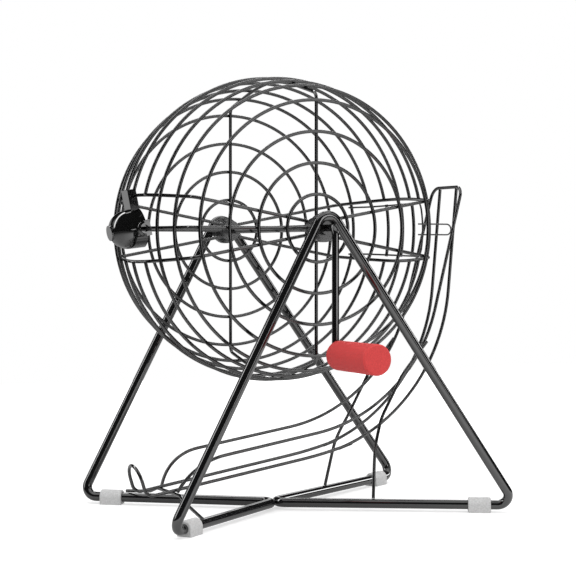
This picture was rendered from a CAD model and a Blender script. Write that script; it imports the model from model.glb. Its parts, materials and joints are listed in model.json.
import math

import bpy
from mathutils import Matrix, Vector
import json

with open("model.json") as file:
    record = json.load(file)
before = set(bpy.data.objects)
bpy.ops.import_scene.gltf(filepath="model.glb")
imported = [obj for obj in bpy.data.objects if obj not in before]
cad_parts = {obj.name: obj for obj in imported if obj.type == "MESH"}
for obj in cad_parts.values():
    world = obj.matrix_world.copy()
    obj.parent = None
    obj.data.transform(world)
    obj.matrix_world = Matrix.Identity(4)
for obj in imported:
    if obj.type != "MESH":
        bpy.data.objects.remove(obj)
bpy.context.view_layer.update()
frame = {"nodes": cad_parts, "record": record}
scene = bpy.context.scene
nodes = frame["nodes"]

# ---------------------------------------------------------------- camera
CAMERA_AT = (-0.4858, -0.9691, 0.1737)
CAMERA_YAW = math.radians(25.995)       # turned from +Y toward +X
CAMERA_PITCH = math.radians(-1.294)
LENS_MM = 103.2


def add_camera():
    data = bpy.data.cameras.new("camera")
    data.lens = LENS_MM
    data.sensor_width = 36.0
    data.clip_start = 0.01
    camera = bpy.data.objects.new("camera", data)
    camera.location = CAMERA_AT
    camera.rotation_euler = (math.pi / 2 + CAMERA_PITCH, 0.0, -CAMERA_YAW)
    scene.collection.objects.link(camera)
    scene.camera = camera


# ---------------------------------------------------------------- node helpers
def new_tree(owner):
    owner.use_nodes = True
    owner.node_tree.nodes.clear()
    return owner.node_tree


def add(tree, kind, **settings):
    """A new node. Settings that start with in_ are values of its inputs."""
    node = tree.nodes.new(kind)
    for key, value in settings.items():
        if key.startswith("in_"):
            node.inputs[key[3:].replace("_", " ")].default_value = value
        else:
            setattr(node, key, value)
    return node


def math_node(tree, operation, first, second):
    node = add(tree, "ShaderNodeMath", operation=operation)
    for socket, value in zip(node.inputs, (first, second)):
        if isinstance(value, (int, float)):
            socket.default_value = value
        else:
            tree.links.new(value, socket)
    return node.outputs[0]


def remap(tree, value, span, levels, curve="LINEAR"):
    """The first level where the value is at the start of the span, the second from its end on."""
    node = add(tree, "ShaderNodeMapRange", interpolation_type=curve, in_From_Min=span[0], in_From_Max=span[1],
               in_To_Min=levels[0], in_To_Max=levels[1])
    tree.links.new(value, node.inputs["Value"])
    return node.outputs["Result"]


# ---------------------------------------------------------------- materials
BROAD_SCALE = 60.0           # of the soft change in shade, per metre
WHOLE_NOISE = (0.0, 1.0)
MOST_OF_NOISE = (0.3, 0.7)   # nearly all of a noise texture lies in this span
GLOSS_CHANGE = 0.2           # share by which the roughness changes over the grain
BUMP_STRENGTH = 0.5


def coated(name, colour, roughness, ior, grain_scale, grain_depth, tint=0.15, speckle=0.03):
    """A moulded or coated surface: fine grain in the bump and colour, soft change in shade and gloss."""
    material = bpy.data.materials.new(name)
    tree = new_tree(material)
    out = add(tree, "ShaderNodeOutputMaterial")
    shader = add(tree, "ShaderNodeBsdfPrincipled", in_IOR=ior)
    place = add(tree, "ShaderNodeTexCoord").outputs["Object"]
    broad = add(tree, "ShaderNodeTexNoise", in_Scale=BROAD_SCALE, in_Detail=3.0)
    fine = add(tree, "ShaderNodeTexNoise", in_Scale=grain_scale, in_Detail=2.0)
    for noise in (broad, fine):
        tree.links.new(place, noise.inputs["Vector"])
    shade = remap(tree, broad.outputs["Fac"], WHOLE_NOISE, (1.0 - tint, 1.0 + tint))
    specks = remap(tree, fine.outputs["Fac"], MOST_OF_NOISE, (1.0 - speckle, 1.0 + speckle))
    mix = add(tree, "ShaderNodeMix", data_type="RGBA", blend_type="MULTIPLY")
    mix.inputs["Factor"].default_value = 1.0
    mix.inputs["A"].default_value = (*colour, 1.0)
    tree.links.new(math_node(tree, "MULTIPLY", shade, specks), mix.inputs["B"])
    tree.links.new(mix.outputs["Result"], shader.inputs["Base Color"])
    smoothest = roughness * (1.0 - GLOSS_CHANGE)
    roughest = roughness * (1.0 + GLOSS_CHANGE)
    gloss = remap(tree, fine.outputs["Fac"], WHOLE_NOISE, (smoothest, roughest))
    tree.links.new(gloss, shader.inputs["Roughness"])
    bump = add(tree, "ShaderNodeBump", in_Strength=BUMP_STRENGTH, in_Distance=grain_depth)
    tree.links.new(fine.outputs["Fac"], bump.inputs["Height"])
    tree.links.new(bump.outputs["Normal"], shader.inputs["Normal"])
    tree.links.new(shader.outputs["BSDF"], out.inputs["Surface"])
    return material


COATING_BLACK = (0.004, 0.004, 0.0043)
CUP_BLACK = (0.004, 0.004, 0.004)
HUB_GREY = (0.036, 0.036, 0.037)
KNOB_RED = (0.60, 0.054, 0.054)
CLIP_WHITE = (0.57, 0.57, 0.57)
MATERIALS = {
    "stand_rod_coating": coated("black_rod_coating", COATING_BLACK, roughness=0.08, ior=1.9,
                                grain_scale=700.0, grain_depth=0.000006),
    "wire_coating": coated("black_wire_coating", COATING_BLACK, roughness=0.08, ior=1.8,
                           grain_scale=900.0, grain_depth=0.000006),
    "hub_plastic": coated("hub_plastic", HUB_GREY, roughness=0.28, ior=1.7,
                          grain_scale=1500.0, grain_depth=0.000001),
    "bush_plastic": coated("bush_plastic", CUP_BLACK, roughness=0.12, ior=1.6,
                           grain_scale=1500.0, grain_depth=0.0000015),
    "cup_plastic": coated("cup_plastic", CUP_BLACK, roughness=0.05, ior=1.9,
                          grain_scale=500.0, grain_depth=0.0000003),
    "knob_plastic": coated("knob_plastic", KNOB_RED, roughness=0.6, ior=1.3,
                           grain_scale=1100.0, grain_depth=0.0002, tint=0.04, speckle=0.09),
    "foot_clip_plastic": coated("foot_clip_plastic", CLIP_WHITE, roughness=0.6, ior=1.45,
                                grain_scale=1100.0, grain_depth=0.0002, tint=0.04, speckle=0.12),
}


def dress_nodes():
    slots = {part["node"]: part["material_slot"] for part in frame["record"]["subparts"]}
    for name, obj in nodes.items():
        for place in obj.material_slots:
            place.material = MATERIALS[slots[name]]


# ---------------------------------------------------------------- the room that the gloss mirrors
# Directions are (azimuth, elevation) in degrees, with the azimuth from the camera's view toward its right.
# Each patch of light: direction, full within this many degrees, gone beyond this many, and its radiance.
PATCHES = (
    ((-88.0, 32.0), 5.0, 20.0, 0.8),       # window on the left
    ((-42.0, 0.0), 10.0, 24.0, 0.9),       # pale wall behind, on the left
    ((100.0, 48.0), 10.0, 28.0, 1.0),      # window high on the right
    ((62.0, 18.0), 2.5, 7.0, 9.0),         # small lamp behind, on the right
)
WHITE_CARD = ((0.0, 0.0), 15.0, 20.0, 1.0)
FAR_LAMP = ((130.0, 0.0), 10.0, 26.0, 2.8)
FAR_LAMP_HEIGHT = -0.015         # sine of the elevation of its middle
FAR_LAMP_HALF = (0.032, 0.039)   # it is full within the first of these heights and gone at the second
TUBE_CENTRE = (-42.0, 0.0)       # the curved light tube is part of a ring round this direction
TUBE_RADIUS = 58.5               # degrees
TUBE_HALF_WIDTH = 6.5            # degrees
TUBE_LENGTH = ((-55.0, 50.0), 50.0, 60.0, 8.0)   # the patch that the tube is the middle line of
ROOM_BLACK = 0.02
AMBIENT = 0.87                   # even light on everything that isn't a mirrored direction


def aim(azimuth, elevation):
    turn = CAMERA_YAW + math.radians(azimuth)
    lift = math.radians(elevation)
    return (math.sin(turn) * math.cos(lift), math.cos(turn) * math.cos(lift), math.sin(lift))


def toward(tree, direction, place):
    dot = add(tree, "ShaderNodeVectorMath", operation="DOT_PRODUCT")
    dot.inputs[1].default_value = aim(*place)
    tree.links.new(direction, dot.inputs[0])
    return dot.outputs["Value"]


def patch(tree, direction, place, inner, outer, level):
    """Level within inner degrees of a direction, falling smoothly to 0 at outer degrees."""
    span = (math.cos(math.radians(outer)), math.cos(math.radians(inner)))
    return remap(tree, toward(tree, direction, place), span, (0.0, level), "SMOOTHSTEP")


def far_lamp(tree, direction):
    """A wide, low band of light far behind the camera, on the right."""
    parts = add(tree, "ShaderNodeSeparateXYZ")
    tree.links.new(direction, parts.inputs[0])
    off_middle = math_node(tree, "SUBTRACT", parts.outputs["Z"], FAR_LAMP_HEIGHT)
    band = remap(tree, math_node(tree, "ABSOLUTE", off_middle, 0.0), FAR_LAMP_HALF, (1.0, 0.0))
    return math_node(tree, "MULTIPLY", patch(tree, direction, *FAR_LAMP), band)


def light_tube(tree, direction):
    ring = math.cos(math.radians(TUBE_RADIUS))
    off_ring = math_node(tree, "SUBTRACT", toward(tree, direction, TUBE_CENTRE), ring)
    span = (0.0, math.sin(math.radians(TUBE_HALF_WIDTH)))
    across = remap(tree, math_node(tree, "ABSOLUTE", off_ring, 0.0), span, (1.0, 0.0), "SMOOTHSTEP")
    return math_node(tree, "MULTIPLY", patch(tree, direction, *TUBE_LENGTH), across)


def room_light(tree, direction):
    light = ROOM_BLACK
    for one in PATCHES:
        light = math_node(tree, "ADD", light, patch(tree, direction, *one))
    for lamp in (far_lamp, light_tube):
        light = math_node(tree, "ADD", light, lamp(tree, direction))
    return math_node(tree, "MAXIMUM", light, patch(tree, direction, *WHITE_CARD))


def add_world():
    """White for the camera, the room for reflections, and an even light for everything else."""
    world = bpy.data.worlds.new("studio")
    scene.world = world
    tree = new_tree(world)
    out = add(tree, "ShaderNodeOutputWorld")
    path = add(tree, "ShaderNodeLightPath")
    direction = add(tree, "ShaderNodeTexCoord").outputs["Generated"]
    seen = math_node(tree, "MAXIMUM", path.outputs["Is Camera Ray"], path.outputs["Is Transmission Ray"])
    mirrored = math_node(tree, "MULTIPLY", path.outputs["Is Glossy Ray"], room_light(tree, direction))
    neither = math_node(tree, "SUBTRACT", 1.0, math_node(tree, "MAXIMUM", seen, path.outputs["Is Glossy Ray"]))
    ambient = math_node(tree, "MULTIPLY", neither, AMBIENT)
    strength = math_node(tree, "ADD", math_node(tree, "ADD", seen, mirrored), ambient)
    background = add(tree, "ShaderNodeBackground", in_Color=(1.0, 1.0, 1.0, 1.0))
    tree.links.new(strength, background.inputs["Strength"])
    tree.links.new(background.outputs["Background"], out.inputs["Surface"])


# ---------------------------------------------------------------- lamps
OBJECT_MIDDLE = (0.0, 0.0, 0.15)
LAMPS = (   # name, place, side in metres, watts, and whether reflections show it
    ("overhead", (-0.15, -0.25, 1.6), 1.8, 12.0, True),
    ("softbox", (0.54, -1.40, 0.50), 0.5, 2.6, True),
    ("front_fill", (0.25, -1.8, 0.7), 1.2, 2.0, False),
)


def area_light(name, at, side, watts, glossy):
    data = bpy.data.lights.new(name, "AREA")
    data.shape = "SQUARE"
    data.size = side
    data.energy = watts
    light = bpy.data.objects.new(name, data)
    light.location = at
    light.rotation_euler = (Vector(OBJECT_MIDDLE) - Vector(at)).to_track_quat("-Z", "Y").to_euler()
    light.visible_glossy = glossy
    light.visible_camera = False
    scene.collection.objects.link(light)
    return light


def keep_off(light, piece):
    """The lamp lights everything but this piece."""
    kept_off = bpy.data.collections.new(light.name + "_kept_off")
    kept_off.objects.link(piece)
    kept_off.collection_objects[0].light_linking.link_state = "EXCLUDE"
    light.light_linking.receiver_collection = kept_off


def add_lights():
    """The lamps. The cup's level top would mirror the ones that show, so they are kept off it."""
    for name, at, side, watts, glossy in LAMPS:
        light = area_light(name, at, side, watts, glossy)
        if glossy:
            keep_off(light, nodes["ball_cup"])


# ---------------------------------------------------------------- floor
PAPER = 0.66                     # albedo of the paper that the object stands on
PAPER_HALF = 1.1                 # metres
MIDDLE = (0.0, 0.0, 0.0)
BRIGHTEST = (0.1, -0.25, 0.0)    # where reflections see the paper brightest, toward the front right
# Changes over the paper: metres from their centre where they start and end, and the levels there.
CAMERA_GLOW = ((0.25, 0.8), (0.5, 1.0))       # added for the camera, so that the far paper is white too
MIRRORED_GLOW = ((0.08, 0.5), (0.6, 0.0))     # added for reflections, from the brightest place
MIRRORED_EDGE = ((0.3, 0.75), (0.0, 0.85))    # share of the paper's light that reflections lose to its edge
MIRRORED_SHADOW = ((0.05, 0.18), (0.6, 0.0))  # and under the object


def fade(tree, place, centre, span, levels):
    """A level that changes smoothly with the distance from a point on the paper."""
    distance = add(tree, "ShaderNodeVectorMath", operation="DISTANCE")
    distance.inputs[1].default_value = centre
    tree.links.new(place, distance.inputs[0])
    return remap(tree, distance.outputs["Value"], span, levels, "SMOOTHSTEP")


def floor_paper():
    """White to the camera and pale to reflections, darkened by the object's shadow."""
    material = bpy.data.materials.new("floor_paper")
    tree = new_tree(material)
    out = add(tree, "ShaderNodeOutputMaterial")
    paper = add(tree, "ShaderNodeBsdfDiffuse")
    glow = add(tree, "ShaderNodeEmission")
    path = add(tree, "ShaderNodeLightPath")
    in_camera = path.outputs["Is Camera Ray"]
    in_mirror = path.outputs["Is Glossy Ray"]
    place = add(tree, "ShaderNodeTexCoord").outputs["Object"]
    seen = math_node(tree, "MULTIPLY", in_camera, fade(tree, place, MIDDLE, *CAMERA_GLOW))
    mirrored = math_node(tree, "MULTIPLY", in_mirror, fade(tree, place, BRIGHTEST, *MIRRORED_GLOW))
    tree.links.new(math_node(tree, "ADD", seen, mirrored), glow.inputs["Strength"])
    losses = [fade(tree, place, MIDDLE, *loss) for loss in (MIRRORED_EDGE, MIRRORED_SHADOW)]
    lost = math_node(tree, "MULTIPLY", in_mirror, math_node(tree, "ADD", *losses))
    albedo = math_node(tree, "MULTIPLY", PAPER, math_node(tree, "SUBTRACT", 1.0, lost))
    tree.links.new(albedo, paper.inputs["Color"])
    both = add(tree, "ShaderNodeAddShader")
    tree.links.new(paper.outputs["BSDF"], both.inputs[0])
    tree.links.new(glow.outputs["Emission"], both.inputs[1])
    tree.links.new(both.outputs["Shader"], out.inputs["Surface"])
    return material


def add_floor():
    mesh = bpy.data.meshes.new("floor")
    corners = [(PAPER_HALF * x, PAPER_HALF * y, 0.0) for x, y in ((-1, -1), (1, -1), (1, 1), (-1, 1))]
    mesh.from_pydata(corners, [], [(0, 1, 2, 3)])
    mesh.materials.append(floor_paper())
    floor = bpy.data.objects.new("floor", mesh)
    scene.collection.objects.link(floor)


scene.view_settings.view_transform = "Standard"
add_camera()
add_world()
add_lights()
add_floor()
dress_nodes()
